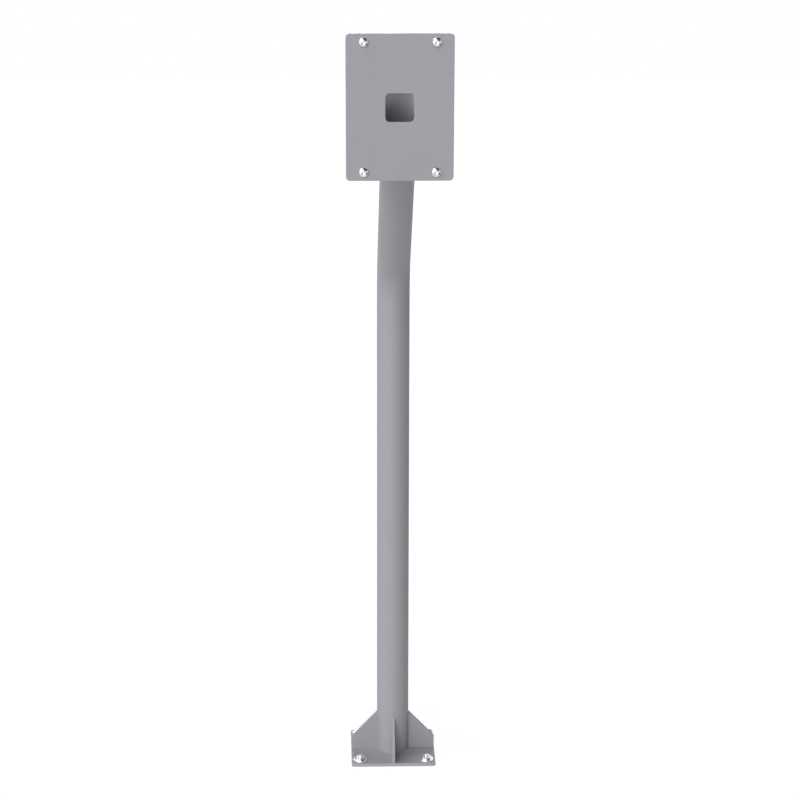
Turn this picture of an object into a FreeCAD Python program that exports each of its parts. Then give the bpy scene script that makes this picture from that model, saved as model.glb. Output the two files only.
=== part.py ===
import FreeCAD, Part
import math
import os

# Gate intercom post: a bent round post welded to a square foot plate with four gussets,
# and an upright face plate for the intercom welded to the forward end of its neck.
# Millimetres, +Z up, the face plate looks along -Y.
# The origin is the centre of the foot plate's underside, on the post's axis.

# Post: one round steel tube, upright below and leaning forward above one bend
POST_DIAMETER = 50.8
POST_WALL = 3.0
BEND_RADIUS = 101.6
NECK_LEAN_DEG = 45.0
NECK_REACH = 300.0
FACE_CENTRE_HEIGHT = 1098.0

# Face plate, with its cable window and the four screws that hold an intercom
FACE_WIDTH = 150.0
FACE_HEIGHT = 204.0
FACE_THICKNESS = 5.0
FACE_CORNER_RADIUS = 6.0
FACE_EDGE_BREAK = 0.7
FACE_BACK_EDGE_BREAK = 0.5
WINDOW_SIDE = 40.0
WINDOW_CORNER_RADIUS = 6.0
WINDOW_EDGE_BREAK = 0.5
SCREW_SIDE_INSET = 24.5
SCREW_END_INSET = 12.0

# Button-head socket screw and its nut behind the face plate
SCREW_DIAMETER = 8.0
SCREW_LENGTH = 16.0
SCREW_HEAD_DIAMETER = 14.0
SCREW_HEAD_HEIGHT = 4.4
SCREW_HEAD_RIM = 1.2
SCREW_CROWN_DIAMETER = 6.2
SCREW_SOCKET_FLATS = 5.0
SCREW_SOCKET_DEPTH = 2.6
SCREW_NUT_FLATS = 13.0
SCREW_NUT_HEIGHT = 6.5
SCREW_HOLE_PLAY = 0.5

# Foot plate
FOOT_SIDE = 135.0
FOOT_THICKNESS = 5.0
FOOT_CORNER_RADIUS = 5.0
FOOT_EDGE_BREAK = 0.6
CABLE_ENTRY_DIAMETER = 40.0
ANCHOR_INSET = 14.5

# Gussets, each a clipped triangle between the post and the foot plate's edge
GUSSET_THICKNESS = 5.0
GUSSET_HEIGHT = 63.0
GUSSET_TOE_HEIGHT = 19.0
GUSSET_SETBACK = 0.3
GUSSET_EDGE_ROUND = 0.4
WELD_ROOT_GAP = 0.1

# Anchor fastenings in the foot plate's corners
ANCHOR_DIAMETER = 8.0
ANCHOR_HOLE_PLAY = 1.0
ANCHOR_STAND_OUT = 2.4
ANCHOR_WASHER_DIAMETER = 22.0
ANCHOR_WASHER_THICKNESS = 1.6
ANCHOR_NUT_FLATS = 13.0
ANCHOR_NUT_HEIGHT = 5.0

# Shared workshop values
THREAD_PLAY = 0.1
WASHER_PLAY = 0.25
THREAD_END_CHAMFER = 0.8
NUT_CHAMFER_DEG = 30.0

UP = FreeCAD.Vector(0, 0, 1)
FORWARD = FreeCAD.Vector(0, -1, 0)
ORIGIN = FreeCAD.Vector(0, 0, 0)

# Places closer than this count as the same place
SAME_PLACE = 1e-4

POST_RADIUS = POST_DIAMETER / 2
NECK_LEAN = math.radians(NECK_LEAN_DEG)
FACE_BACK_Y = -NECK_REACH
FACE_FRONT_Y = FACE_BACK_Y - FACE_THICKNESS
FOOT_TOP = FOOT_THICKNESS
SCREW_SPACING_ACROSS = FACE_WIDTH - 2 * SCREW_SIDE_INSET
SCREW_SPACING_UPRIGHT = FACE_HEIGHT - 2 * SCREW_END_INSET
ANCHOR_SPACING = FOOT_SIDE - 2 * ANCHOR_INSET


def vector(x, y, z):
    return FreeCAD.Vector(x, y, z)


def four_corners(spacing_across, spacing_along):
    """The centres of a rectangular pattern of four, as pairs of offsets."""
    signs = [(-1, -1), (1, -1), (1, 1), (-1, 1)]
    return [(a * spacing_across / 2, b * spacing_along / 2) for a, b in signs]


def rounded_rectangle(width, height, radius):
    """A closed outline in the XY plane, centred on the origin."""
    half_w = width / 2
    half_h = height / 2
    turn = radius * (1 - math.cos(math.radians(45)))
    edges = []
    for quarter in range(4):
        across, along = (half_w, half_h) if quarter % 2 == 0 else (half_h, half_w)
        side_start = vector(across, -along + radius, 0)
        side_end = vector(across, along - radius, 0)
        corner_middle = vector(across - turn, along - turn, 0)
        corner_end = vector(across - radius, along, 0)
        pieces = [
            Part.makeLine(side_start, side_end),
            Part.Arc(side_end, corner_middle, corner_end).toShape(),
        ]
        for piece in pieces:
            piece.rotate(ORIGIN, UP, 90 * quarter)
            edges.append(piece)
    return Part.Wire(edges)


def flat_plate(outline, thickness):
    """The outline filled and raised from z = 0 to z = thickness."""
    return Part.Face(outline).extrude(vector(0, 0, thickness))


def edges_at_height(solid, height, within=math.inf):
    """Edges lying in one level plane, with their middle no further than this from both axes."""
    found = []
    for edge in solid.Edges:
        box = edge.BoundBox
        level = abs(box.ZMin - height) < SAME_PLACE and abs(box.ZMax - height) < SAME_PLACE
        middle = edge.valueAt((edge.FirstParameter + edge.LastParameter) / 2)
        if level and max(abs(middle.x), abs(middle.y)) < within + SAME_PLACE:
            found.append(edge)
    return found


def revolved(points_and_arcs):
    """Turn a closed half profile in the XZ plane round the Z axis."""
    face = Part.Face(Part.Wire(points_and_arcs))
    return face.revolve(ORIGIN, UP, 360)


def half_profile(points):
    """Straight edges through (radius, height) pairs, closed back to the first."""
    corners = [vector(r, 0, z) for r, z in points]
    closed = zip(corners, corners[1:] + corners[:1])
    return [Part.makeLine(a, b) for a, b in closed]


def hexagon_corner_radius(across_flats):
    return across_flats / 2 / math.cos(math.radians(30))


def hexagon_prism(across_flats, height):
    """A prism on z = 0 with two of its flats facing along X."""
    corner_radius = hexagon_corner_radius(across_flats)
    corners = []
    for side in range(7):
        angle = math.radians(60 * side + 30)
        corners.append(vector(corner_radius * math.cos(angle), corner_radius * math.sin(angle), 0))
    return flat_plate(Part.makePolygon(corners), height)


def hexagon_nut(across_flats, height, thread_diameter):
    """A nut with its flat bearing face on z = 0 and its upper end chamfered."""
    corner_radius = hexagon_corner_radius(across_flats)
    flat_radius = across_flats / 2
    drop = (corner_radius - flat_radius) * math.tan(math.radians(NUT_CHAMFER_DEG))
    turned = revolved(half_profile([
        (0, 0),
        (corner_radius, 0),
        (corner_radius, height - drop),
        (flat_radius, height),
        (0, height),
    ]))
    bore = Part.makeCylinder(thread_diameter / 2 + THREAD_PLAY, height)
    return hexagon_prism(across_flats, height).common(turned).cut(bore)


def threaded_rod(diameter, length):
    """A plain rod from z = 0 up, with its upper end chamfered."""
    radius = diameter / 2
    return revolved(half_profile([
        (0, 0),
        (radius, 0),
        (radius, length - THREAD_END_CHAMFER),
        (radius - THREAD_END_CHAMFER, length),
        (0, length),
    ]))


def standing_forward(solid, x, y, z):
    """Turn a piece built along +Z so that it points along -Y, and set its foot at a place."""
    placed = solid.copy()
    placed.rotate(ORIGIN, vector(1, 0, 0), 90)
    placed.translate(vector(x, y, z))
    return placed


def post_centre_line():
    """Upright, tangent bend and neck, run on past the face plate so the end can be mitred."""
    corner_height = FACE_CENTRE_HEIGHT - NECK_REACH / math.tan(NECK_LEAN)
    tangent_length = BEND_RADIUS * math.tan(NECK_LEAN / 2)
    neck_direction = vector(0, -math.sin(NECK_LEAN), math.cos(NECK_LEAN))
    corner = vector(0, 0, corner_height)
    bend_start = vector(0, 0, corner_height - tangent_length)
    bend_end = corner + neck_direction * tangent_length
    half_lean = NECK_LEAN / 2
    bend_middle = vector(
        0,
        -BEND_RADIUS * (1 - math.cos(half_lean)),
        bend_start.z + BEND_RADIUS * math.sin(half_lean),
    )
    overrun = POST_DIAMETER / math.tan(NECK_LEAN)
    neck_end = corner + neck_direction * (NECK_REACH / math.sin(NECK_LEAN) + overrun)
    return Part.Wire([
        Part.makeLine(vector(0, 0, FOOT_TOP), bend_start),
        Part.Arc(bend_start, bend_middle, bend_end).toShape(),
        Part.makeLine(bend_end, neck_end),
    ])


def post_tube():
    """The bent tube, square at the foot and mitred flush with the face plate's back."""
    centre_line = post_centre_line()
    foot_centre = vector(0, 0, FOOT_TOP)

    def swept(radius):
        circle = Part.Wire(Part.makeCircle(radius, foot_centre, UP))
        return centre_line.makePipeShell([circle], True, False)

    tube = swept(POST_RADIUS).cut(swept(POST_RADIUS - POST_WALL))
    span = 4 * (NECK_REACH + FACE_CENTRE_HEIGHT)
    in_front = Part.makeBox(span, span, span, vector(-span / 2, FACE_BACK_Y - span, -span / 2))
    return tube.cut(in_front)


def face_plate():
    """The upright plate, built flat with its back on z = 0 and then stood up."""
    plate = flat_plate(rounded_rectangle(FACE_WIDTH, FACE_HEIGHT, FACE_CORNER_RADIUS), FACE_THICKNESS)
    plate = plate.makeChamfer(FACE_EDGE_BREAK, edges_at_height(plate, FACE_THICKNESS))
    plate = plate.makeChamfer(FACE_BACK_EDGE_BREAK, edges_at_height(plate, 0))
    window_outline = rounded_rectangle(WINDOW_SIDE, WINDOW_SIDE, WINDOW_CORNER_RADIUS)
    plate = plate.cut(flat_plate(window_outline, FACE_THICKNESS))
    window_rim = edges_at_height(plate, FACE_THICKNESS, within=WINDOW_SIDE / 2)
    plate = plate.makeChamfer(WINDOW_EDGE_BREAK, window_rim)
    hole_radius = SCREW_DIAMETER / 2 + SCREW_HOLE_PLAY
    for across, up in four_corners(SCREW_SPACING_ACROSS, SCREW_SPACING_UPRIGHT):
        plate = plate.cut(Part.makeCylinder(hole_radius, FACE_THICKNESS, vector(across, up, 0)))
    return standing_forward(plate, 0, FACE_BACK_Y, FACE_CENTRE_HEIGHT)


def button_head_screw():
    """A domed socket screw along Z: head above z = 0, threaded shank below."""
    head_radius = SCREW_HEAD_DIAMETER / 2
    crown_radius = SCREW_CROWN_DIAMETER / 2
    rise = SCREW_HEAD_HEIGHT - SCREW_HEAD_RIM
    # The dome is part of a sphere centred on the screw's axis
    below_crown = (head_radius ** 2 - crown_radius ** 2 + rise ** 2) / (2 * rise)
    sphere_height = SCREW_HEAD_HEIGHT - below_crown
    sphere_radius = math.hypot(crown_radius, below_crown)
    rim_angle = math.atan2(SCREW_HEAD_RIM - sphere_height, head_radius)
    crown_angle = math.atan2(below_crown, crown_radius)
    middle_angle = (rim_angle + crown_angle) / 2
    rim = vector(head_radius, 0, SCREW_HEAD_RIM)
    crown = vector(crown_radius, 0, SCREW_HEAD_HEIGHT)
    dome_middle = vector(
        sphere_radius * math.cos(middle_angle),
        0,
        sphere_height + sphere_radius * math.sin(middle_angle),
    )
    axis_top = vector(0, 0, SCREW_HEAD_HEIGHT)
    head = revolved([
        Part.makeLine(ORIGIN, vector(head_radius, 0, 0)),
        Part.makeLine(vector(head_radius, 0, 0), rim),
        Part.Arc(rim, dome_middle, crown).toShape(),
        Part.makeLine(crown, axis_top),
        Part.makeLine(axis_top, ORIGIN),
    ])
    socket = hexagon_prism(SCREW_SOCKET_FLATS, SCREW_SOCKET_DEPTH)
    socket.translate(vector(0, 0, SCREW_HEAD_HEIGHT - SCREW_SOCKET_DEPTH))
    shank = threaded_rod(SCREW_DIAMETER, SCREW_LENGTH)
    shank.rotate(ORIGIN, vector(1, 0, 0), 180)
    return head.fuse(shank).cut(socket).removeSplitter()


def plate_screws():
    """The four screws, their heads on the front of the face plate."""
    screw = button_head_screw()
    screws = []
    for across, up in four_corners(SCREW_SPACING_ACROSS, SCREW_SPACING_UPRIGHT):
        screws.append(standing_forward(screw, across, FACE_FRONT_Y, FACE_CENTRE_HEIGHT + up))
    return Part.Compound(screws)


def plate_nuts():
    """The four nuts drawn up against the back of the face plate."""
    nut = hexagon_nut(SCREW_NUT_FLATS, SCREW_NUT_HEIGHT, SCREW_DIAMETER)
    nut.rotate(ORIGIN, vector(1, 0, 0), 180)
    nuts = []
    for across, up in four_corners(SCREW_SPACING_ACROSS, SCREW_SPACING_UPRIGHT):
        nuts.append(standing_forward(nut, across, FACE_BACK_Y, FACE_CENTRE_HEIGHT + up))
    return Part.Compound(nuts)


def foot_plate():
    """The square plate with its cable entry in the middle and an anchor hole in each corner."""
    plate = flat_plate(rounded_rectangle(FOOT_SIDE, FOOT_SIDE, FOOT_CORNER_RADIUS), FOOT_THICKNESS)
    plate = plate.makeChamfer(FOOT_EDGE_BREAK, edges_at_height(plate, FOOT_TOP))
    plate = plate.cut(Part.makeCylinder(CABLE_ENTRY_DIAMETER / 2, FOOT_THICKNESS))
    hole_radius = ANCHOR_DIAMETER / 2 + ANCHOR_HOLE_PLAY
    for x, y in four_corners(ANCHOR_SPACING, ANCHOR_SPACING):
        plate = plate.cut(Part.makeCylinder(hole_radius, FOOT_THICKNESS, vector(x, y, 0)))
    return plate


def gusset():
    """One gusset in the XZ plane on the +X side, standing on the foot plate."""
    inner = POST_RADIUS + WELD_ROOT_GAP
    outer = FOOT_SIDE / 2 - GUSSET_SETBACK
    outline = Part.makePolygon([
        vector(inner, 0, FOOT_TOP),
        vector(outer, 0, FOOT_TOP),
        vector(outer, 0, FOOT_TOP + GUSSET_TOE_HEIGHT),
        vector(inner, 0, FOOT_TOP + GUSSET_HEIGHT),
        vector(inner, 0, FOOT_TOP),
    ])
    blade = Part.Face(outline).extrude(vector(0, GUSSET_THICKNESS, 0))
    blade.translate(vector(0, -GUSSET_THICKNESS / 2, 0))
    free_edges = []
    for edge in blade.Edges:
        box = edge.BoundBox
        along_blade = box.YLength < SAME_PLACE
        at_post = box.XMax < inner + SAME_PLACE
        at_foot = box.ZMax < FOOT_TOP + SAME_PLACE
        if along_blade and not at_post and not at_foot:
            free_edges.append(edge)
    return blade.makeFillet(GUSSET_EDGE_ROUND, free_edges)


def gussets():
    """The four gussets, a quarter turn apart, by the side of the post they stand on."""
    quarter_turns = {"right": 0, "rear": 1, "left": 2, "front": 3}
    placed = {}
    for side, turns in quarter_turns.items():
        blade = gusset()
        blade.rotate(ORIGIN, UP, 90 * turns)
        placed["gusset_" + side] = blade
    return placed


def at_anchors(solid, height):
    """Copies of one upright piece at the four anchor places."""
    copies = []
    for x, y in four_corners(ANCHOR_SPACING, ANCHOR_SPACING):
        copy = solid.copy()
        copy.translate(vector(x, y, height))
        copies.append(copy)
    return Part.Compound(copies)


def anchor_washers():
    washer = Part.makeCylinder(ANCHOR_WASHER_DIAMETER / 2, ANCHOR_WASHER_THICKNESS)
    bore_radius = ANCHOR_DIAMETER / 2 + WASHER_PLAY
    washer = washer.cut(Part.makeCylinder(bore_radius, ANCHOR_WASHER_THICKNESS))
    return at_anchors(washer, FOOT_TOP)


def anchor_nuts():
    nut = hexagon_nut(ANCHOR_NUT_FLATS, ANCHOR_NUT_HEIGHT, ANCHOR_DIAMETER)
    return at_anchors(nut, FOOT_TOP + ANCHOR_WASHER_THICKNESS)


def anchor_studs():
    """Stud ends from the plate's underside to just above their nuts."""
    above_foot = ANCHOR_WASHER_THICKNESS + ANCHOR_NUT_HEIGHT + ANCHOR_STAND_OUT
    stud = threaded_rod(ANCHOR_DIAMETER, FOOT_THICKNESS + above_foot)
    return at_anchors(stud, 0)


def build():
    """Every sub-part of the post by name."""
    parts = {
        "post_tube": post_tube(),
        "face_plate": face_plate(),
        "foot_plate": foot_plate(),
        "anchor_studs": anchor_studs(),
        "anchor_washers": anchor_washers(),
        "anchor_nuts": anchor_nuts(),
        "plate_screws": plate_screws(),
        "plate_nuts": plate_nuts(),
    }
    parts.update(gussets())
    return parts


def main():
    os.makedirs("parts", exist_ok=True)
    for name, shape in build().items():
        shape.exportStep("parts/" + name + ".step")
        print(name, len(shape.Solids), "solids", round(shape.Volume), "mm3")


main()
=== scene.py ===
import math

import bmesh
import bpy
from mathutils import Matrix, Vector


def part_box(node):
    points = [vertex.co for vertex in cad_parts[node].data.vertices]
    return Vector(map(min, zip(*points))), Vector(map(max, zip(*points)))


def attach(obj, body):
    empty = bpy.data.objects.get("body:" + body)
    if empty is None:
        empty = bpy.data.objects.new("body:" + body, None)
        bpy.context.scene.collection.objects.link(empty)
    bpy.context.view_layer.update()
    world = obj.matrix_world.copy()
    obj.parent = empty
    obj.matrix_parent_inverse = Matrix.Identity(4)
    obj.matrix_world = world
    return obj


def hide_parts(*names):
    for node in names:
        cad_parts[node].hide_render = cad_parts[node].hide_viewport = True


bl_info = {
    "name": "Gate Intercom Post",
    "version": (1, 0, 0),
    "blender": (4, 5, 0),
    "location": "View3D > Sidebar > Intercom Post",
    "description": "Dresses a gooseneck intercom post: coated tube, plates, welds and bright fasteners",
    "category": "Object",
}

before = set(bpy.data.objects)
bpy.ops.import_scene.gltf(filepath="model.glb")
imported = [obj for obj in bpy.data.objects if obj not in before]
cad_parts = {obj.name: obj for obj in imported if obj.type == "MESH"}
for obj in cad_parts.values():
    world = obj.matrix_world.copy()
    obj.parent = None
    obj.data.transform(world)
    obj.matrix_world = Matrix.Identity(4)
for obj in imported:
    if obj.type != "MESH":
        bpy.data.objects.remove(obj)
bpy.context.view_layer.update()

TUBE_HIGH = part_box("post_tube")[1]
FACE_LOW, FACE_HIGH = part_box("face_plate")
FOOT_LOW, FOOT_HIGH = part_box("foot_plate")
GUSSET_LOW, GUSSET_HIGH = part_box("gusset_right")
SCREWS_LOW, SCREWS_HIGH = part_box("plate_screws")
SCREW_NUTS_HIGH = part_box("plate_nuts")[1]
STUDS_LOW, STUDS_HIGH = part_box("anchor_studs")
WASHERS_LOW, WASHERS_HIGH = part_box("anchor_washers")
ANCHOR_NUTS_LOW, ANCHOR_NUTS_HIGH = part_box("anchor_nuts")

BODY = "root"
TONE_LAYER = "edge_tone"
# Marks the bore, where a paler copy of the coat's grey is painted as light
BORE_LIGHT_LAYER = "bare_zinc"
WHITE = (1.0, 1.0, 1.0, 1.0)
FRAME_WIDTH_MM = 36.0
FULL_TURN = 2 * math.pi
QUARTER_TURN = FULL_TURN / 4
SIXTH_TURN = FULL_TURN / 6
SHARP_ANGLE = math.radians(32)
RIGHT = Vector((1, 0, 0))
UP = Vector((0, 0, 1))

# Round pieces are divided into a multiple of twelve, so a hexagon's corners fall on a division
TUBE_DIVISIONS = 96
FASTENER_DIVISIONS = 72
THREAD_DIVISIONS = 48

ROWS_PER_THREAD = 10
NECK_WELD_RINGS = 420
WELD_CROSSINGS = 6

# How worn the metal looks, from 0 on its flats to 1 on the plates' rounded edges
ROUNDED_TONE = 1.0
SIDE_TONE = 0.35
NUT_TONE = 0.3
WASHER_TONE = 0.4
HEAD_RIM_TONE = 0.5
SOCKET_LIP_TONE = 0.6

# A metric thread, as shares of its pitch
THREAD_DEPTH = 0.6134
ROOT_FLAT = 0.25
CREST_FLAT = 0.125

# A weld bead: two distances in metres, then shares of its leg or, for the drag, of a ripple
WELD_STEP = 0.0004
WELD_END_GAP = 0.0012
WELD_ROOT = 0.2
WELD_RISE = 0.16
RIPPLE_RISE = 0.07
RIPPLE_DRAG = 0.35


def length(name, description, default):
    return bpy.props.FloatProperty(
        name=name, description=description, default=default, min=0.0,
        unit="LENGTH", subtype="DISTANCE", precision=5,
    )


def angle(name, description, degrees):
    return bpy.props.FloatProperty(
        name=name, description=description, default=math.radians(degrees),
        unit="ROTATION", subtype="ANGLE",
    )


def colour(name, description, default):
    return bpy.props.FloatVectorProperty(
        name=name, description=description, default=default, size=3, min=0.0, max=1.0, subtype="COLOR"
    )


def amount(name, description, default, low=0.0, high=1.0):
    return bpy.props.FloatProperty(
        name=name, description=description, default=default, min=low, max=high, subtype="FACTOR"
    )


def spot(name, description, default):
    return bpy.props.FloatVectorProperty(
        name=name, description=description, default=default, size=3,
        unit="LENGTH", subtype="TRANSLATION",
    )


class PostSizes(bpy.types.PropertyGroup):
    """Sizes of the coated steelwork. What the frame can tell is read from it."""

    tube_radius: length("Tube radius", "Outside radius of the round post", TUBE_HIGH.x)
    tube_wall: length("Tube wall", "Wall of the round post", 0.003)
    bend_radius: length("Bend radius", "Radius of the bend on the tube's centre line", 0.1016)
    neck_lean: angle("Neck lean", "How far the neck leans forward from upright", 45.0)
    neck_reach: length("Neck reach", "From the post's axis to the back of the face plate", -FACE_HIGH.y)
    face_centre: length(
        "Face centre height", "Height of the face plate's middle", (FACE_LOW.z + FACE_HIGH.z) / 2
    )
    face_width: length("Face plate width", "Width of the face plate", FACE_HIGH.x - FACE_LOW.x)
    face_height: length("Face plate height", "Height of the face plate", FACE_HIGH.z - FACE_LOW.z)
    face_thickness: length(
        "Face plate thickness", "Thickness of the face plate", FACE_HIGH.y - FACE_LOW.y
    )
    face_corner: length("Face plate corner", "Radius of the face plate's corners", 0.006)
    face_edge: length("Face plate edge", "Rounding of the face plate's front and window edges", 0.0008)
    face_back_edge: length("Face plate back edge", "Rounding of the face plate's edges behind", 0.0005)
    window_side: length("Window side", "Side of the square cable window", 0.040)
    window_corner: length("Window corner", "Radius of the cable window's corners", 0.006)
    foot_side: length("Foot plate side", "Side of the square foot plate", FOOT_HIGH.x - FOOT_LOW.x)
    foot_thickness: length("Foot plate thickness", "Thickness of the foot plate", FOOT_HIGH.z)
    foot_corner: length("Foot plate corner", "Radius of the foot plate's corners", 0.005)
    foot_edge: length("Foot plate edge", "Rounding of the foot plate's upper edges", 0.0007)
    foot_under_edge: length("Foot plate under edge", "Rounding of the foot plate's lower edges", 0.0003)
    cable_entry: length("Cable entry radius", "Radius of the hole under the tube's bore", 0.020)
    gusset_thickness: length(
        "Gusset thickness", "Thickness of each gusset", GUSSET_HIGH.y - GUSSET_LOW.y
    )
    gusset_height: length(
        "Gusset height", "Height of each gusset above the foot plate", GUSSET_HIGH.z - GUSSET_LOW.z
    )
    foot_weld_leg: length("Foot weld leg", "Leg of the weld beads round the post's foot", 0.0005)
    gusset_weld_leg: length("Gusset weld leg", "Leg of the weld beads along the gussets", 0.00045)
    neck_weld_leg: length("Neck weld leg", "Leg of the weld bead behind the face plate", 0.0025)
    weld_ripple: length("Weld ripple", "Distance from one ripple of a weld bead to the next", 0.0021)


class FastenerSizes(bpy.types.PropertyGroup):
    """Sizes of the screws, nuts, washers and studs."""

    screw_radius: length("Screw radius", "Thread radius of the face plate screws", 0.004)
    screw_pitch: length("Screw pitch", "Thread pitch of the face plate screws", 0.00125)
    screw_head: length("Screw head radius", "Radius of the domed screw heads", 0.007)
    screw_head_height: length(
        "Screw head height", "Height of the domed screw heads", FACE_LOW.y - SCREWS_LOW.y
    )
    screw_rim: length("Screw head rim", "Height of the straight rim under the dome", 0.0012)
    screw_under_edge: length("Screw head under edge", "Rounding under the screw heads' rims", 0.0002)
    screw_crown: length("Screw crown radius", "Radius of the flat on top of the dome", 0.0031)
    socket_flats: length("Socket flats", "Hexagon socket, across flats", 0.005)
    socket_depth: length("Socket depth", "Depth of the hexagon socket", 0.0026)
    socket_lip: length("Socket lip", "Chamfer round the mouth of the hexagon socket", 0.00015)
    socket_pit: length("Socket pit", "Depth of the drill's pit in the floor of the socket", 0.0006)
    socket_pit_radius: length("Socket pit radius", "Radius of the drill's pit at its bottom", 0.0009)
    screw_nut_flats: length("Screw nut flats", "Nuts behind the face plate, across flats", 0.013)
    screw_hole: length("Screw hole radius", "Radius of the screw holes in the face plate", 0.0045)
    stud_radius: length("Stud radius", "Thread radius of the anchor studs", 0.004)
    stud_pitch: length("Stud pitch", "Thread pitch of the anchor studs", 0.00125)
    anchor_nut_flats: length("Anchor nut flats", "Anchor nuts, across flats", 0.013)
    washer_radius: length("Washer radius", "Outside radius of the anchor washers", 0.011)
    washer_bore: length("Washer bore", "Radius of the washers' holes", 0.00425)
    washer_edge: length("Washer edge", "Rounding of the washers' outer edges", 0.00035)
    anchor_hole: length("Anchor hole radius", "Radius of the anchor holes in the foot plate", 0.005)
    bore_play: length("Bore play", "Play between a nut's bore and its thread", 0.0001)
    nut_end: amount("Nut end", "Width of a nut's flat end as a share of its flats", 0.96)
    countersink: length("Countersink", "Depth of the countersink in a nut's ends", 0.0006)
    thread_end: length("Thread end", "Chamfer on the end of a thread", 0.0008)


class FinishSettings(bpy.types.PropertyGroup):
    """Colours and surface of the coating and of the bright plated steel."""

    coat_colour: colour("Coat colour", "Grey of the powder coat", (0.330, 0.325, 0.356))
    coat_roughness: amount("Coat roughness", "Gloss of the powder coat, 0 for a mirror", 0.52)
    coat_peel: length("Orange peel", "Depth of the coat's soft waves", 0.00004)
    # Painted light: the bore takes a paler copy of the coat's grey, standing in for light inside the
    # tube
    bore_light_colour: colour("Bore light colour", "Paler copy of the coat painted inside the tube as light in its bore", (0.50, 0.495, 0.535))
    steel_colour: colour("Plating colour", "Colour of the face plate's fasteners", (0.66, 0.66, 0.65))
    steel_roughness: amount("Plating roughness", "Gloss of the plate's screws, 0 for a mirror", 0.13)
    anchor_colour: colour("Anchor colour", "Colour of the plating on the anchors", (0.84, 0.84, 0.835))
    anchor_roughness: amount("Anchor roughness", "Gloss of the anchors' plating, 0 for a mirror", 0.15)


class StageSettings(bpy.types.PropertyGroup):
    """Camera, lamps and floor."""

    camera_place: spot("Camera place", "Where the camera stands", (-0.100279, -3.472674, 1.573716))
    camera_turn: angle("Camera turn", "Turn of the camera to the right of straight ahead", 1.832)
    camera_dip: angle("Camera dip", "How far the camera looks down", 15.76)
    camera_roll: angle("Camera roll", "Roll of the camera about its line of sight", 0.144)
    camera_lens: bpy.props.FloatProperty(
        name="Lens", description="Focal length on a 36 mm wide frame", default=103.716, min=1.0,
        subtype="DISTANCE_CAMERA",
    )
    front_light: amount("Front light", "Strength of the high lamp in front", 1.56, high=10.0)
    front_turn: angle("Front turn", "How far the front lamp stands to the left of the front", 15.0)
    front_height: angle("Front height", "How high the front lamp stands above the floor", 35.0)
    front_spread: angle("Front spread", "How wide the front lamp looks from the post", 40.0)
    low_light: amount("Low light", "Strength of the low lamp in front on the left", 1.40, high=10.0)
    low_turn: angle("Low turn", "How far the low lamp stands to the left of the front", 40.0)
    low_height: angle("Low height", "How high the low lamp stands above the floor", 8.0)
    low_spread: angle("Low spread", "How wide the low lamp looks from the post", 70.0)
    side_light: amount("Side light", "Strength of the lamp on the left", 0.78, high=10.0)
    side_turn: angle("Side turn", "How far the side lamp stands to the left of the front", 80.0)
    side_height: angle("Side height", "How high the side lamp stands above the floor", 53.0)
    side_spread: angle("Side spread", "How wide the side lamp looks from the post", 25.0)
    rear_light: amount("Rear light", "Strength of the lamp behind the post", 1.28, high=10.0)
    rear_turn: angle("Rear turn", "How far the rear lamp stands to the left of the front", 180.0)
    rear_height: angle("Rear height", "How high the rear lamp stands above the floor", 8.0)
    rear_spread: angle("Rear spread", "How wide the rear lamp looks from the post", 25.0)
    card_tone: amount("Dark card tone", "Brightness of the cards that the fasteners mirror", 0.12)
    high_card_place: spot("High card place", "Middle of the dark card high up", (1.0, -1.1, 2.9))
    high_card_target: spot("High card target", "What the high card faces", (0.0, -0.3, 1.1))
    high_card_side: length("High card side", "Side of the high card", 2.8)
    low_card_place: spot("Low card place", "Middle of the dark card low down", (1.0, -0.7, 0.42))
    low_card_target: spot("Low card target", "What the low card faces", (0.0, -0.05, 0.42))
    low_card_side: length("Low card side", "Side of the low card", 0.84)
    sky_light: amount("Sky light", "Brightness of the room as the object's surfaces see it", 0.06)
    floor_pale: amount("Floor tone", "How much of the light on the floor it gives back", 0.50)
    floor_glow: amount("Floor glow", "Light that the pale floor gives of itself", 0.31)
    floor_shadow: amount("Floor shadow", "How much of the shadow on the floor shows", 0.15)
    floor_light: amount("Floor light", "Brightness of the open floor with its glow and lamps", 0.65)
    floor_fade: length("Floor fade", "How far from the post the floor has turned plain white", 1.2)
    floor_side: length("Floor side", "Side of the square floor", 16.0)
    floor_drop: length("Floor drop", "How far the floor lies below the foot plate", 0.0003)


class Wire:
    """One output of a shader node. Arithmetic on it adds Math nodes."""

    def __init__(self, recipe, socket):
        self.recipe = recipe
        self.socket = socket

    def maths(self, operation, *values):
        return self.recipe.add("ShaderNodeMath", {"operation": operation}, dict(enumerate(values)))

    def __add__(self, other):
        return self.maths("ADD", self, other)

    def __radd__(self, other):
        return self.maths("ADD", other, self)

    def __sub__(self, other):
        return self.maths("SUBTRACT", self, other)

    def __rsub__(self, other):
        return self.maths("SUBTRACT", other, self)

    def __mul__(self, other):
        return self.maths("MULTIPLY", self, other)

    def __rmul__(self, other):
        return self.maths("MULTIPLY", other, self)

    def __truediv__(self, other):
        return self.maths("DIVIDE", self, other)

    def __pow__(self, other):
        return self.maths("POWER", self, other)

    def __abs__(self):
        return self.maths("ABSOLUTE", self)

    def sine(self):
        return self.maths("SINE", self)

    def clamped(self):
        clamp = {"operation": "MULTIPLY", "use_clamp": True}
        return self.recipe.add("ShaderNodeMath", clamp, {0: self, 1: 1.0})

    def larger(self, other):
        return self.maths("MAXIMUM", self, other)


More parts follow.
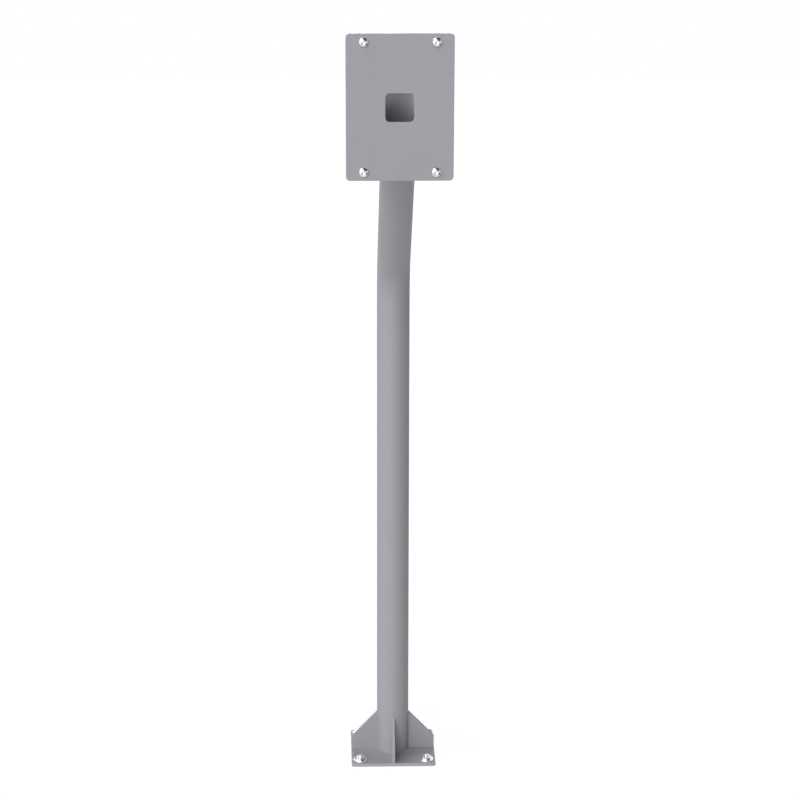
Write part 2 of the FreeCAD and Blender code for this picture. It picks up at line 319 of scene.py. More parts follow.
class Recipe:
    """The node tree of a material or a world, emptied, and the one way to add nodes to it."""

    def __init__(self, owner):
        owner.use_nodes = True
        self.tree = owner.node_tree
        self.tree.nodes.clear()

    def add(self, kind, settings=None, inputs=None, output=0):
        node = self.tree.nodes.new(kind)
        for name, value in (settings or {}).items():
            setattr(node, name, value)
        for name, value in (inputs or {}).items():
            if isinstance(value, Wire):
                self.tree.links.new(value.socket, node.inputs[name])
            else:
                node.inputs[name].default_value = value
        if len(node.outputs):
            return Wire(self, node.outputs[output])
        return None

    def place(self):
        return self.add("ShaderNodeTexCoord", output="Object")

    def painted(self, layer):
        """A value that the mesh carries at its points."""
        return self.add("ShaderNodeAttribute", {"attribute_name": layer}, output="Fac")

    def noise(self, place, scale, detail=2.0, roughness=0.5):
        inputs = {"Vector": place, "Scale": scale, "Detail": detail, "Roughness": roughness}
        return self.add("ShaderNodeTexNoise", None, inputs)

    def blend(self, factor, first, second):
        """A colour between two colours; each may be a wire or three numbers."""
        first, second = [c if isinstance(c, Wire) else (*c, 1.0) for c in (first, second)]
        # A colour Mix node has its factor at input 0, its colours at 6 and 7 and its result at output 2
        inputs = {0: factor, 6: first, 7: second}
        return self.add("ShaderNodeMix", {"data_type": "RGBA"}, inputs, output=2)

    def part_of(self, vector, letter):
        return self.add("ShaderNodeSeparateXYZ", None, {0: vector}, output="XYZ".index(letter))

    def bump(self, height, distance, strength):
        inputs = {"Height": height, "Distance": distance, "Strength": strength}
        return self.add("ShaderNodeBump", None, inputs)

    def glow(self, strength):
        """Plain white light."""
        return self.add("ShaderNodeEmission", None, {"Color": WHITE, "Strength": strength})

    def finish_with(self, surface, kind="Material"):
        self.add("ShaderNodeOutput" + kind, None, {"Surface": surface})


def shade(tone, factor):
    """A colour made darker or lighter, kept within white."""
    return tuple(min(1.0, part * factor) for part in tone)


def powder_coat():
    """Satin grey powder coat: soft orange peel, a fine grain, slightly paler edges and a paler grey
    painted in the bore as light.
    """
    found = bpy.data.materials.get("satin_powder_coat")
    if found:
        return found
    finish = bpy.context.scene.intercom_post_finish
    coat = tuple(finish.coat_colour)
    material = bpy.data.materials.new("satin_powder_coat")
    recipe = Recipe(material)
    place = recipe.place()
    cloud = recipe.noise(place, scale=11.0, detail=3.0)
    peel = recipe.noise(place, scale=430.0, detail=1.5)
    grain = recipe.noise(place, scale=1700.0)
    edge = recipe.painted(TONE_LAYER)
    mottle = (cloud * 0.55 + grain * 0.45).clamped()
    darker, lighter, worn_pale = shade(coat, 0.955), shade(coat, 1.045), shade(coat, 1.28)
    wear = (edge * (0.25 + 0.5 * cloud)).clamped()
    coated = recipe.blend(wear, recipe.blend(mottle, darker, lighter), worn_pale)
    # Painted light: inside the tube the coat turns to a paler copy of its own grey, standing in for
    # light in the bore
    bore_lit_coat = tuple(finish.bore_light_colour)
    bore_lit_darker, bore_lit_lighter = shade(bore_lit_coat, 0.93), shade(bore_lit_coat, 1.07)
    bore_lit_mottle = recipe.blend(mottle, bore_lit_darker, bore_lit_lighter)
    smoothest = finish.coat_roughness - 0.05
    shader = recipe.add("ShaderNodeBsdfPrincipled", None, {
        "Base Color": recipe.blend(recipe.painted(BORE_LIGHT_LAYER), coated, bore_lit_mottle),
        "Metallic": 0.0,
        "Roughness": smoothest + 0.08 * cloud + 0.05 * grain - 0.06 * edge,
        "Specular IOR Level": 0.42,
        "Normal": recipe.bump(peel + 0.22 * grain, finish.coat_peel, strength=0.45),
    })
    recipe.finish_with(shader)
    return material


def plated_steel(name, steel, roughness, across, along, letter, height):
    """Bright plated steel with turning marks round each of four fasteners, set symmetrically."""
    found = bpy.data.materials.get(name)
    if found:
        return found
    material = bpy.data.materials.new(name)
    recipe = Recipe(material)
    place = recipe.place()
    from_axis_across = abs(recipe.part_of(place, "X")) - across
    from_axis_along = abs(recipe.part_of(place, letter) - height) - along
    from_axis = (from_axis_across ** 2 + from_axis_along ** 2) ** 0.5
    mark_spacing, mark_depth = 0.00042, 0.000004
    marks = (from_axis * (FULL_TURN / mark_spacing)).sine()
    cloud = recipe.noise(place, scale=160.0, detail=3.0)
    scratch = recipe.noise(place, scale=2600.0, roughness=0.6)
    polish = (recipe.painted(TONE_LAYER) * 0.7).clamped()
    mottle = (0.7 * cloud + 0.3 * scratch).clamped()
    darker, lighter, polished = shade(steel, 0.90), shade(steel, 1.05), shade(steel, 1.15)
    smoothest = roughness - 0.05
    shader = recipe.add("ShaderNodeBsdfPrincipled", None, {
        "Base Color": recipe.blend(polish, recipe.blend(mottle, darker, lighter), polished),
        "Metallic": 1.0,
        "Roughness": smoothest + 0.10 * cloud + 0.05 * scratch,
        "Normal": recipe.bump(0.5 * marks * cloud + scratch, mark_depth, strength=0.5),
    })
    recipe.finish_with(shader)
    return material


def screw_places():
    """Half the distances between the face plate screws, across and up."""
    head = bpy.context.scene.intercom_post_fasteners.screw_head
    return (SCREWS_HIGH.x - SCREWS_LOW.x) / 2 - head, (SCREWS_HIGH.z - SCREWS_LOW.z) / 2 - head


def anchor_places():
    """Half the distances between the anchors, across and along."""
    washer = bpy.context.scene.intercom_post_fasteners.washer_radius
    return WASHERS_HIGH.x - washer, WASHERS_HIGH.y - washer


def screw_steel():
    across, up = screw_places()
    height = bpy.context.scene.intercom_post_sizes.face_centre
    finish = bpy.context.scene.intercom_post_finish
    steel = tuple(finish.steel_colour)
    return plated_steel("plated_steel_screws", steel, finish.steel_roughness, across, up, "Z", height)


def anchor_steel():
    across, along = anchor_places()
    finish = bpy.context.scene.intercom_post_finish
    steel = tuple(finish.anchor_colour)
    return plated_steel("plated_steel_anchors", steel, finish.anchor_roughness, across, along, "Y", 0.0)


def four_corners(across, along):
    return [(-across, -along), (across, -along), (across, along), (-across, along)]


def standing_forward(x, y, z):
    """Takes what is built along +Z and sets it along -Y at a place."""
    return Matrix.Translation((x, y, z)) @ Matrix.Rotation(QUARTER_TURN, 4, "X")


def new_mesh():
    bm = bmesh.new()
    bm.verts.layers.float.new(TONE_LAYER)
    return bm


def add_ring(bm, points, tone=0.0):
    layer = bm.verts.layers.float[TONE_LAYER]
    ring = []
    for point in points:
        vertex = bm.verts.new(point)
        vertex[layer] = tone
        ring.append(vertex)
    return ring


def bridge(bm, first, second):
    """Quads between two rings of as many points."""
    for index in range(len(first)):
        after = (index + 1) % len(first)
        bm.faces.new((first[index], first[after], second[after], second[index]))


def skin(bm, rings, loop=False):
    """A closed skin over rings: either the last joins the first, or both ends are capped."""
    for first, second in zip(rings, rings[1:]):
        bridge(bm, first, second)
    if loop:
        bridge(bm, rings[-1], rings[0])
    else:
        bm.faces.new(reversed(rings[0]))
        bm.faces.new(rings[-1])


def finish_piece(name, bm, material, replaced=()):
    """Turns the gathered skins into one piece that rides on the post."""
    bmesh.ops.recalc_face_normals(bm, faces=bm.faces)
    for face in bm.faces:
        face.smooth = True
    for edge in bm.edges:
        if edge.calc_face_angle() > SHARP_ANGLE:
            edge.smooth = False
    mesh = bpy.data.meshes.new(name)
    bm.to_mesh(mesh)
    bm.free()
    mesh.materials.append(material)
    piece = bpy.data.objects.new(name, mesh)
    bpy.context.scene.collection.objects.link(piece)
    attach(piece, BODY)
    if replaced:
        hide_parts(*replaced)
    return piece


def tube_rings(bm, sizes, radius):
    """Rings up the tube at one radius, from the foot to the mitred end."""
    lean = sizes.neck_lean
    corner = sizes.face_centre - sizes.neck_reach / math.tan(lean)
    bend_start = corner - sizes.bend_radius * math.tan(lean / 2)
    pivot = Vector((0, -sizes.bend_radius, bend_start))
    stations = []
    upright_rows = 16
    for row in range(upright_rows):
        height = sizes.foot_thickness + (bend_start - sizes.foot_thickness) * row / upright_rows
        stations.append((Vector((0, 0, height)), 0.0))
    bend_rows = 30
    for row in range(bend_rows + 1):
        turn = lean * row / bend_rows
        centre = pivot + sizes.bend_radius * Vector((0, math.cos(turn), math.sin(turn)))
        stations.append((centre, turn))
    bend_end = stations[-1][0]
    forward = Vector((0, -math.sin(lean), math.cos(lean)))
    clear_of_mitre = 1.2 * radius
    straight = (sizes.neck_reach + bend_end.y) / math.sin(lean) - clear_of_mitre
    neck_rows = 7
    for row in range(1, neck_rows + 1):
        stations.append((bend_end + forward * straight * row / neck_rows, lean))
    rings = []
    for centre, turn in stations:
        across = Vector((0, math.cos(turn), math.sin(turn)))
        points = []
        for division in range(TUBE_DIVISIONS):
            around = FULL_TURN * division / TUBE_DIVISIONS
            spoke = math.cos(around) * RIGHT + math.sin(around) * across
            points.append(centre + radius * spoke)
        rings.append(add_ring(bm, points))
    mitred = []
    for vertex in rings[-1]:
        run = (-sizes.neck_reach - vertex.co.y) / forward.y
        mitred.append(vertex.co + forward * run)
    rings.append(add_ring(bm, mitred))
    return rings


def rounded_rectangle(width, height, corner, steps=8):
    """Points round a rectangle with rounded corners, centred on the origin."""
    points = []
    for quarter, (sign_x, sign_y) in enumerate([(1, 1), (-1, 1), (-1, -1), (1, -1)]):
        centre_x = sign_x * (width / 2 - corner)
        centre_y = sign_y * (height / 2 - corner)
        for step in range(steps + 1):
            around = QUARTER_TURN * (quarter + step / steps)
            points.append((centre_x + corner * math.cos(around), centre_y + corner * math.sin(around)))
    return points


def circle(radius, x=0.0, y=0.0, steps=48):
    points = []
    for step in range(steps):
        around = FULL_TURN * step / steps
        points.append((x + radius * math.cos(around), y + radius * math.sin(around)))
    return points


def rounded_side(thickness, low_edge, high_edge, steps):
    """Levels up the side of a plate with rounded edges: how far each steps back, and its height."""
    turns = [QUARTER_TURN * step / steps for step in range(steps + 1)]
    levels = [(low_edge * (1 - math.sin(turn)), low_edge * (1 - math.cos(turn))) for turn in turns]
    for turn in turns:
        levels.append((high_edge * (1 - math.cos(turn)), thickness - high_edge * (1 - math.sin(turn))))
    return levels


def soft_plate(bm, place, thickness, outlines, top_edge, bottom_edge):
    """A plate with rounded edges. Each outline takes how far it steps back from the metal's edge."""
    steps = 4
    levels = rounded_side(thickness, bottom_edge, top_edge, steps)
    first_rings = []
    last_rings = []
    for outline in outlines:
        rings = []
        for number, (back, height) in enumerate(levels):
            tone = 0.0 if number in (0, len(levels) - 1) else ROUNDED_TONE
            if number in (steps, steps + 1):
                tone = SIDE_TONE
            points = [place @ Vector((x, y, height)) for x, y in outline(back)]
            rings.append(add_ring(bm, points, tone))
        for first, second in zip(rings, rings[1:]):
            bridge(bm, first, second)
        first_rings.append(rings[0])
        last_rings.append(rings[-1])
    for rings in (first_rings, last_rings):
        edges = []
        for ring in rings:
            for index, vertex in enumerate(ring):
                edges.append(bm.edges.get((vertex, ring[(index + 1) % len(ring)])))
        bmesh.ops.triangle_fill(bm, use_beauty=True, use_dissolve=False, edges=edges)
        for edge in edges:
            edge.smooth = False


class INTERCOM_POST_OT_tube(bpy.types.Operator):
    """Build the bent tube with its bore and its mitred end"""

    bl_idname = "intercom_post.tube"
    bl_label = "Bent Tube"

    def execute(self, context):
        sizes = context.scene.intercom_post_sizes
        bm = new_mesh()
        # The inner rings are marked for the paler grey that is painted in the bore as light
        bore_light_share = bm.verts.layers.float.new(BORE_LIGHT_LAYER)
        outer = tube_rings(bm, sizes, sizes.tube_radius)
        inner = tube_rings(bm, sizes, sizes.tube_radius - sizes.tube_wall)
        for ring in inner:
            for vertex in ring:
                vertex[bore_light_share] = 1.0
        skin(bm, outer + inner[::-1], loop=True)
        finish_piece("bent_tube", bm, powder_coat(), ["post_tube"])
        return {"FINISHED"}


class INTERCOM_POST_OT_face_plate(bpy.types.Operator):
    """Build the face plate with its cable window and screw holes"""

    bl_idname = "intercom_post.face_plate"
    bl_label = "Face Plate"

    def execute(self, context):
        sizes = context.scene.intercom_post_sizes
        hole = context.scene.intercom_post_fasteners.screw_hole

        def rim(back):
            return rounded_rectangle(
                sizes.face_width - 2 * back, sizes.face_height - 2 * back, sizes.face_corner - back
            )

        def window(back):
            side = sizes.window_side + 2 * back
            return rounded_rectangle(side, side, sizes.window_corner + back)

        outlines = [rim, window]
        for x, y in four_corners(*screw_places()):
            outlines.append(lambda back, x=x, y=y: circle(hole + back, x, y))
        bm = new_mesh()
        place = standing_forward(0, -sizes.neck_reach, sizes.face_centre)
        soft_plate(bm, place, sizes.face_thickness, outlines, sizes.face_edge, sizes.face_back_edge)
        finish_piece("face_plate_coated", bm, powder_coat(), ["face_plate"])
        return {"FINISHED"}


class INTERCOM_POST_OT_foot_plate(bpy.types.Operator):
    """Build the foot plate with its cable entry and anchor holes"""

    bl_idname = "intercom_post.foot_plate"
    bl_label = "Foot Plate"

    def execute(self, context):
        sizes = context.scene.intercom_post_sizes
        hole = context.scene.intercom_post_fasteners.anchor_hole

        def rim(back):
            side = sizes.foot_side - 2 * back
            return rounded_rectangle(side, side, sizes.foot_corner - back)

        outlines = [rim, lambda back: circle(sizes.cable_entry + back)]
        for x, y in four_corners(*anchor_places()):
            outlines.append(lambda back, x=x, y=y: circle(hole + back, x, y))
        bm = new_mesh()
        soft_plate(bm, Matrix(), sizes.foot_thickness, outlines, sizes.foot_edge, sizes.foot_under_edge)
        finish_piece("foot_plate_coated", bm, powder_coat(), ["foot_plate"])
        return {"FINISHED"}


class INTERCOM_POST_OT_gussets(bpy.types.Operator):
    """Coat the four gussets of the frame"""

    bl_idname = "intercom_post.gussets"
    bl_label = "Gussets"

    def execute(self, context):
        for side in ("front", "rear", "left", "right"):
            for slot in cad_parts["gusset_" + side].material_slots:
                slot.material = powder_coat()
        return {"FINISHED"}


def weld_bead(bm, corners, leg, ripple, loop=False):
    """A rippled fillet weld. Each corner is a place and the two directions that the bead spreads in."""
    travelled = 0.0
    rings = []
    before = corners[0][0]
    for place, first, second in corners:
        travelled += (place - before).length
        before = place
        outward = (first + second).normalized()
        points = [place - outward * leg * WELD_ROOT]
        for crossing in range(WELD_CROSSINGS + 1):
            share = crossing / WELD_CROSSINGS
            bulge = 4 * share * (1 - share)
            phase = travelled / ripple - RIPPLE_DRAG * bulge
            wave = phase - math.floor(phase)
            lift = leg * bulge * (WELD_RISE + RIPPLE_RISE * wave)
            points.append(place + leg * ((1 - share) * first + share * second) + outward * lift)
        rings.append(add_ring(bm, points))
    skin(bm, rings, loop)


def along_line(start, end, first, second):
    """Places from start to end, with the same two directions at each."""
    count = max(2, int((end - start).length / WELD_STEP))
    return [(start.lerp(end, number / count), first, second) for number in range(count + 1)]


class INTERCOM_POST_OT_welds(bpy.types.Operator):
    """Lay the weld beads round the tube's foot, along the gussets and behind the face plate"""

    bl_idname = "intercom_post.welds"
    bl_label = "Welds"

    def execute(self, context):
        sizes = context.scene.intercom_post_sizes
        self.lay_foot_welds(sizes)
        self.lay_gusset_welds(sizes)
        self.lay_neck_weld(sizes)
        return {"FINISHED"}

    def lay_foot_welds(self, sizes):
        bm = new_mesh()
        beside_gusset = sizes.gusset_thickness / 2 + 0.4 * sizes.foot_weld_leg
        gap = math.asin(beside_gusset / sizes.tube_radius)
        for quarter in range(4):
            start = QUARTER_TURN * quarter + gap
            end = QUARTER_TURN * (quarter + 1) - gap
            count = int((end - start) * sizes.tube_radius / WELD_STEP)
            corners = []
            for number in range(count + 1):
                around = start + (end - start) * number / count
                outward = Vector((math.cos(around), math.sin(around), 0))
                place = sizes.tube_radius * outward + sizes.foot_thickness * UP
                corners.append((place, outward, UP))
            weld_bead(bm, corners, sizes.foot_weld_leg, sizes.weld_ripple)
        finish_piece("foot_welds", bm, powder_coat())

    def lay_gusset_welds(self, sizes):
        bm = new_mesh()
        half = sizes.gusset_thickness / 2
        against_tube = math.sqrt(sizes.tube_radius ** 2 - half ** 2)
        low = sizes.foot_thickness
        high = low + sizes.gusset_height - WELD_END_GAP
        far = GUSSET_HIGH.x - WELD_END_GAP
        for quarter in range(4):
            turn = Matrix.Rotation(QUARTER_TURN * quarter, 3, "Z")
            for side in (-1, 1):
                sideways = Vector((0, side, 0))
                round_tube = Vector((-half, side * against_tube, 0)) / sizes.tube_radius
                inner_end = Vector((against_tube, side * half, low))
                upper_end = Vector((against_tube, side * half, high))
                outer_end = Vector((far, side * half, low))
                upright = along_line(inner_end, upper_end, RIGHT, round_tube)
                level = along_line(inner_end, outer_end, sideways, UP)
                for corners in (upright, level):
                    turned = [[turn @ vector for vector in corner] for corner in corners]
                    weld_bead(bm, turned, sizes.gusset_weld_leg, sizes.weld_ripple)
        finish_piece("gusset_welds", bm, powder_coat())

    def lay_neck_weld(self, sizes):
        bm = new_mesh()
        lean = sizes.neck_lean
        back_along_neck = Vector((0, math.sin(lean), -math.cos(lean)))
        across = Vector((0, math.cos(lean), math.sin(lean)))
        centre = Vector((0, -sizes.neck_reach, sizes.face_centre))
        corners = []
        for number in range(NECK_WELD_RINGS):
            around = FULL_TURN * number / NECK_WELD_RINGS
            spoke = math.cos(around) * RIGHT + math.sin(around) * across
            on_tube = centre + sizes.tube_radius * spoke
            place = on_tube + back_along_neck * (-sizes.neck_reach - on_tube.y) / back_along_neck.y
            # Square to the oval in which the slanted tube meets the plate
            from_centre = place.z - sizes.face_centre
            flat = Vector((place.x, 0, from_centre * math.sin(lean) ** 2)).normalized()
            corners.append((place, flat, back_along_neck))
        weld_bead(bm, corners, sizes.neck_weld_leg, sizes.weld_ripple, loop=True)
        finish_piece("neck_weld", bm, powder_coat())


def hexagon(flats, around):
    """Radius of a hexagon with flats facing along X, at an angle."""
    from_flat = (around + SIXTH_TURN / 2) % SIXTH_TURN - SIXTH_TURN / 2
    return flats / 2 / math.cos(from_flat)


def lathe_ring(bm, place, radius, height, divisions, tone=0.0):
    """A ring whose radius and height may each be a number or a function of the angle."""
    points = []
    for division in range(divisions):
        around = FULL_TURN * division / divisions
        r = radius(around) if callable(radius) else radius
        z = height(around) if callable(height) else height
        points.append(place @ Vector((r * math.cos(around), r * math.sin(around), z)))
    return add_ring(bm, points, tone)


def thread_rings(bm, place, radius, pitch, low, high, chamfer, chamfer_low):
    """Rings up a helical thread between two heights, chamfered at the high end or at both."""
    depth = THREAD_DEPTH * pitch
    count = math.ceil((high - low) / pitch * ROWS_PER_THREAD)
    rings = []
    for row in range(count + 1):
        height = low + (high - low) * row / count
        end_limit = radius - max(0.0, chamfer - (high - height))
        if chamfer_low:
            end_limit = min(end_limit, radius - max(0.0, chamfer - (height - low)))

        def thread_radius(around, height=height, end_limit=end_limit):
            turn = height / pitch - around / FULL_TURN
            wave = 1 - 2 * abs(turn - math.floor(turn) - 0.5)
            crest = min(1.0, max(0.0, (wave - ROOT_FLAT) / (1 - ROOT_FLAT - CREST_FLAT)))
            return min(end_limit, radius - depth * (1 - crest))

        rings.append(lathe_ring(bm, place, thread_radius, height, THREAD_DIVISIONS))
    return rings


def hexagon_nut(bm, place, flats, height, bore, sizes):
    """A nut with both outer ends chamfered and both ends of its bore countersunk."""
    countersink = sizes.countersink
    corner = flats / 2 / math.cos(SIXTH_TURN / 2)
    slope = math.tan(SIXTH_TURN / 2)
    drop = (corner - sizes.nut_end * flats / 2) * slope
    rings = []
    steps = 5
    levels = [drop * step / steps for step in range(steps + 1)]
    levels += [height - drop * (steps - step) / steps for step in range(steps + 1)]
    for level in levels:
        from_end = min(level, height - level)
        cone = corner - (drop - min(drop, from_end)) / slope

        def radius(around, cone=cone):
            return min(hexagon(flats, around), cone)

        rings.append(lathe_ring(bm, place, radius, level, FASTENER_DIVISIONS, NUT_TONE))
    wide = bore + countersink
    for radius, level in (
        (wide, height), (bore, height - countersink), (bore, countersink), (wide, 0.0)
    ):
        rings.append(lathe_ring(bm, place, radius, level, FASTENER_DIVISIONS))
    skin(bm, rings, loop=True)


def flat_washer(bm, place, sizes, thickness):
    """A washer with its outer edges slightly rounded by the punch."""
    rings = []
    for back, height in rounded_side(thickness, sizes.washer_edge, sizes.washer_edge, steps=3):
        radius = sizes.washer_radius - back
        rings.append(lathe_ring(bm, place, radius, height, FASTENER_DIVISIONS, WASHER_TONE))
    for height in (thickness, 0.0):
        rings.append(lathe_ring(bm, place, sizes.washer_bore, height, FASTENER_DIVISIONS))
    skin(bm, rings, loop=True)


def button_screw(bm, place, sizes, shank):
    """A domed screw with a hexagon socket and a threaded shank, its head above zero."""
    divisions = THREAD_DIVISIONS
    rings = thread_rings(
        bm, place, sizes.screw_radius, sizes.screw_pitch, -shank, 0.0, sizes.thread_end, True
    )
    head, crown, soft = sizes.screw_head, sizes.screw_crown, sizes.screw_under_edge
    rings.append(lathe_ring(bm, place, head - soft, 0.0, divisions, HEAD_RIM_TONE))
    rings.append(lathe_ring(bm, place, head, soft, divisions, HEAD_RIM_TONE))
    # The dome is part of a sphere through the top of the rim and the edge of the crown
    top = sizes.screw_head_height
    rise = top - sizes.screw_rim
    below = (head ** 2 - crown ** 2 + rise ** 2) / (2 * rise)
    sphere = math.hypot(crown, below)
    low_angle = math.atan2(sizes.screw_rim - (top - below), head)
    high_angle = math.atan2(below, crown)
    dome_rows = 12
    for row in range(dome_rows + 1):
        slant = low_angle + (high_angle - low_angle) * row / dome_rows
        height = top - below + sphere * math.sin(slant)
        rings.append(lathe_ring(bm, place, sphere * math.cos(slant), height, divisions))
    lip = sizes.socket_lip
    floor = top - sizes.socket_depth

    def socket(around):
        return hexagon(sizes.socket_flats, around)

    rings.append(lathe_ring(bm, place, lambda a: socket(a) + lip, top, divisions, SOCKET_LIP_TONE))
    rings.append(lathe_ring(bm, place, socket, top - lip, divisions, SOCKET_LIP_TONE))
    rings.append(lathe_ring(bm, place, socket, floor, divisions))
    rings.append(lathe_ring(bm, place, sizes.socket_pit_radius, floor - sizes.socket_pit, divisions))
    skin(bm, rings)


class INTERCOM_POST_OT_screws(bpy.types.Operator):
    """Build the four domed screws of the face plate and the nuts behind it"""

    bl_idname = "intercom_post.screws"
    bl_label = "Face Plate Screws"

    def execute(self, context):
        sizes = context.scene.intercom_post_sizes
        fasteners = context.scene.intercom_post_fasteners
        shank = SCREWS_HIGH.y - FACE_LOW.y
        screws = new_mesh()
        nuts = new_mesh()
        nut_height = SCREW_NUTS_HIGH.y - FACE_HIGH.y
        bore = fasteners.screw_radius + fasteners.bore_play
        for x, up in four_corners(*screw_places()):
            height = sizes.face_centre + up
            button_screw(screws, standing_forward(x, FACE_LOW.y, height), fasteners, shank)
            nut_place = standing_forward(x, FACE_HIGH.y + nut_height, height)
            hexagon_nut(nuts, nut_place, fasteners.screw_nut_flats, nut_height, bore, fasteners)
        finish_piece("domed_screws", screws, screw_steel(), ["plate_screws"])
        finish_piece("screw_nuts", nuts, screw_steel(), ["plate_nuts"])
        return {"FINISHED"}


class INTERCOM_POST_OT_anchors(bpy.types.Operator):
    """Build the stud ends, washers and nuts in the foot plate's corners"""

    bl_idname = "intercom_post.anchors"
    bl_label = "Anchors"

    def execute(self, context):
        sizes = context.scene.intercom_post_sizes
        fasteners = context.scene.intercom_post_fasteners
        studs, washers, nuts = new_mesh(), new_mesh(), new_mesh()
        bore = fasteners.stud_radius + fasteners.bore_play
        nut_height = ANCHOR_NUTS_HIGH.z - ANCHOR_NUTS_LOW.z
        for x, y in four_corners(*anchor_places()):
            stud_place = Matrix.Translation((x, y, 0))
            skin(studs, thread_rings(
                studs, stud_place, fasteners.stud_radius, fasteners.stud_pitch,
                STUDS_LOW.z, STUDS_HIGH.z, fasteners.thread_end, False,
            ))
            washer_place = Matrix.Translation((x, y, sizes.foot_thickness))
            flat_washer(washers, washer_place, fasteners, WASHERS_HIGH.z - WASHERS_LOW.z)
            nut_place = Matrix.Translation((x, y, ANCHOR_NUTS_LOW.z))
            hexagon_nut(nuts, nut_place, fasteners.anchor_nut_flats, nut_height, bore, fasteners)
        finish_piece("anchor_stud_ends", studs, anchor_steel(), ["anchor_studs"])
        finish_piece("anchor_flat_washers", washers, anchor_steel(), ["anchor_washers"])
        finish_piece("anchor_hex_nuts", nuts, anchor_steel(), ["anchor_nuts"])
        return {"FINISHED"}


def seen_directly(recipe):
    """1 for rays from the camera, from a glossy surface or through a clear one."""
    found = None
    for kind in ("Is Camera Ray", "Is Glossy Ray", "Is Transmission Ray"):
        ray = recipe.add("ShaderNodeLightPath", output=kind)
        found = ray if found is None else found.larger(ray)
    return found


def flat_sheet(name, side, place, material):
    bm = bmesh.new()
    half = side / 2
    corners = [bm.verts.new(place @ Vector((x, y, 0))) for x, y in four_corners(half, half)]
    bm.faces.new(corners)
    mesh = bpy.data.meshes.new(name)
    bm.to_mesh(mesh)
    bm.free()
    mesh.materials.append(material)
    sheet = bpy.data.objects.new(name, mesh)
    bpy.context.scene.collection.objects.link(sheet)
    return sheet


def aimed_at(place, target):
    """A placement that looks from one point to another, as lamps and sheets face along -Z."""
    return Matrix.Translation(place) @ (target - place).to_track_quat("-Z", "Y").to_matrix().to_4x4()


def direction(turn, height):
    """A unit vector, turned to the left of the front and raised above the floor."""
    level = math.cos(height)
    return Vector((-math.sin(turn) * level, -math.cos(turn) * level, math.sin(height)))


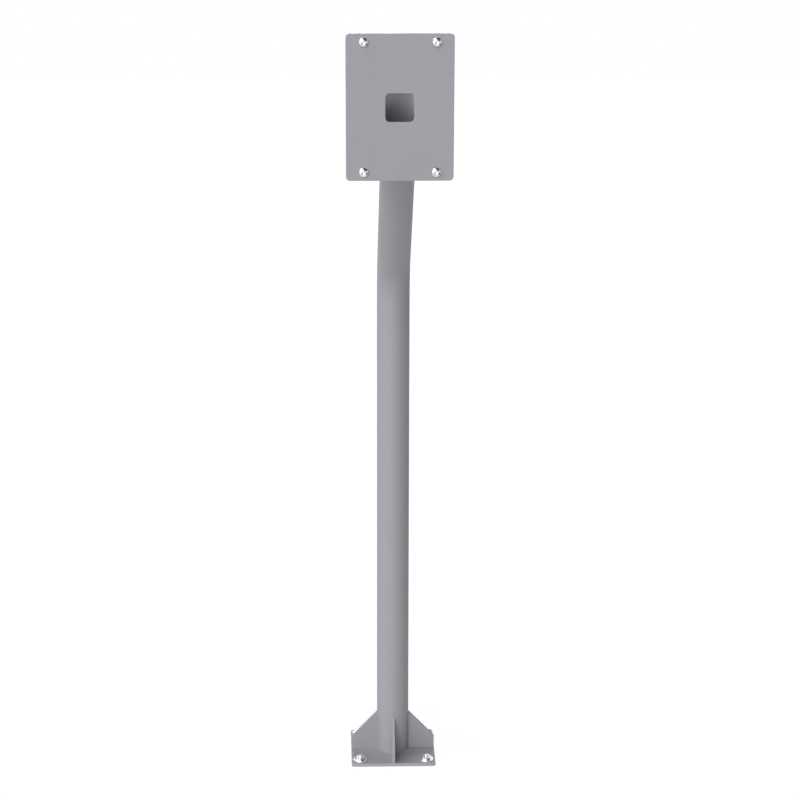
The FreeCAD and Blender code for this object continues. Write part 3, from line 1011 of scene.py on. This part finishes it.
class INTERCOM_POST_OT_stage(bpy.types.Operator):
    """Set the floor, the soft lamps, the room's light and the camera"""

    bl_idname = "intercom_post.stage"
    bl_label = "Stage"

    def execute(self, context):
        scene = context.scene
        settings = scene.intercom_post_stage
        self.lay_floor(settings)
        self.light_room(scene, settings)
        self.hang_lamps(settings)
        self.stand_cards(settings)
        self.set_camera(scene, settings)
        scene.view_settings.view_transform = "Standard"
        return {"FINISHED"}

    def lay_floor(self, settings):
        material = bpy.data.materials.new("pale_floor")
        recipe = Recipe(material)
        tone = settings.floor_pale
        matt = recipe.add("ShaderNodeBsdfDiffuse", None, {"Color": (tone, tone, tone, 1.0)})
        lit = recipe.add("ShaderNodeAddShader", None, {0: matt, 1: recipe.glow(settings.floor_glow)})
        # Together with its share of the lit floor, this makes the open floor plain white
        kept = settings.floor_shadow
        full = (1 - kept * settings.floor_light) / (1 - kept)
        white = recipe.glow(full)
        measure = {"operation": "LENGTH"}
        away = recipe.add("ShaderNodeVectorMath", measure, {0: recipe.place()}, output="Value")
        near = (1 - away / settings.floor_fade).clamped()
        share = seen_directly(recipe) * (1 - kept * near)
        recipe.finish_with(recipe.add("ShaderNodeMixShader", None, {0: share, 1: lit, 2: white}))
        below_foot = Matrix.Translation((0, 0, -settings.floor_drop))
        flat_sheet("pale_floor", settings.floor_side, below_foot, material)

    def light_room(self, scene, settings):
        world = bpy.data.worlds.new("pale_room")
        scene.world = world
        recipe = Recipe(world)
        seen = seen_directly(recipe)
        strength = settings.sky_light + (1 - settings.sky_light) * seen
        air = recipe.add("ShaderNodeBackground", None, {"Color": WHITE, "Strength": strength})
        recipe.finish_with(air, "World")

    def hang_lamps(self, settings):
        """Four soft suns. Only their direction counts, so the distance is free."""
        middle = Vector((0, -0.1, 0.6))
        distance = 5.0
        for side in ("front", "low", "side", "rear"):
            lamp = bpy.data.lights.new(side + "_lamp", "SUN")
            lamp.angle = getattr(settings, side + "_spread")
            lamp.energy = getattr(settings, side + "_light")
            holder = bpy.data.objects.new(side + "_lamp", lamp)
            towards = direction(getattr(settings, side + "_turn"), getattr(settings, side + "_height"))
            holder.matrix_world = aimed_at(middle + towards * distance, middle)
            bpy.context.scene.collection.objects.link(holder)

    def stand_cards(self, settings):
        """Two dark cards on the right, which show only in the fasteners and in the coat's gloss."""
        dark = bpy.data.materials.new("dark_card")
        recipe = Recipe(dark)
        recipe.finish_with(recipe.glow(settings.card_tone))
        for name in ("high_card", "low_card"):
            place = aimed_at(getattr(settings, name + "_place"), getattr(settings, name + "_target"))
            card = flat_sheet(name, getattr(settings, name + "_side"), place, dark)
            card.visible_camera = False
            card.visible_diffuse = False
            card.visible_shadow = False

    def set_camera(self, scene, settings):
        turn, dip, roll = settings.camera_turn, settings.camera_dip, settings.camera_roll
        level = math.cos(dip)
        ahead = Vector((math.sin(turn) * level, math.cos(turn) * level, -math.sin(dip)))
        right = Vector((math.cos(turn), -math.sin(turn), 0))
        up = right.cross(ahead)
        rolled_right = math.cos(roll) * right + math.sin(roll) * up
        rolled_up = -math.sin(roll) * right + math.cos(roll) * up
        lens = bpy.data.cameras.new("photo_camera")
        lens.sensor_width = FRAME_WIDTH_MM
        lens.lens = settings.camera_lens
        holder = bpy.data.objects.new("photo_camera", lens)
        axes = Matrix((rolled_right, rolled_up, -ahead)).transposed().to_4x4()
        holder.matrix_world = Matrix.Translation(settings.camera_place) @ axes
        scene.collection.objects.link(holder)
        scene.camera = holder


STEPS = (
    INTERCOM_POST_OT_tube,
    INTERCOM_POST_OT_face_plate,
    INTERCOM_POST_OT_foot_plate,
    INTERCOM_POST_OT_gussets,
    INTERCOM_POST_OT_welds,
    INTERCOM_POST_OT_screws,
    INTERCOM_POST_OT_anchors,
    INTERCOM_POST_OT_stage,
)


class INTERCOM_POST_PT_panel(bpy.types.Panel):
    """Lists the steps that dress the post, and their settings"""

    bl_idname = "INTERCOM_POST_PT_panel"
    bl_label = "Intercom Post"
    bl_space_type = "VIEW_3D"
    bl_region_type = "UI"
    bl_category = "Intercom Post"

    def draw(self, context):
        for step in STEPS:
            self.layout.operator(step.bl_idname)
        for group in ("sizes", "fasteners", "finish", "stage"):
            settings = getattr(context.scene, "intercom_post_" + group)
            box = self.layout.box()
            for name in settings.__annotations__:
                box.prop(settings, name)


GROUPS = {
    "sizes": PostSizes, "fasteners": FastenerSizes, "finish": FinishSettings, "stage": StageSettings
}


def register():
    for kind in (*GROUPS.values(), *STEPS, INTERCOM_POST_PT_panel):
        bpy.utils.register_class(kind)
    for name, kind in GROUPS.items():
        setattr(bpy.types.Scene, "intercom_post_" + name, bpy.props.PointerProperty(type=kind))


def unregister():
    for name in GROUPS:
        delattr(bpy.types.Scene, "intercom_post_" + name)
    for kind in reversed((*GROUPS.values(), *STEPS, INTERCOM_POST_PT_panel)):
        bpy.utils.unregister_class(kind)


def main():
    register()
    bpy.ops.intercom_post.tube()
    bpy.ops.intercom_post.face_plate()
    bpy.ops.intercom_post.foot_plate()
    bpy.ops.intercom_post.gussets()
    bpy.ops.intercom_post.welds()
    bpy.ops.intercom_post.screws()
    bpy.ops.intercom_post.anchors()
    bpy.ops.intercom_post.stage()


if __name__ == "__main__":
    main()
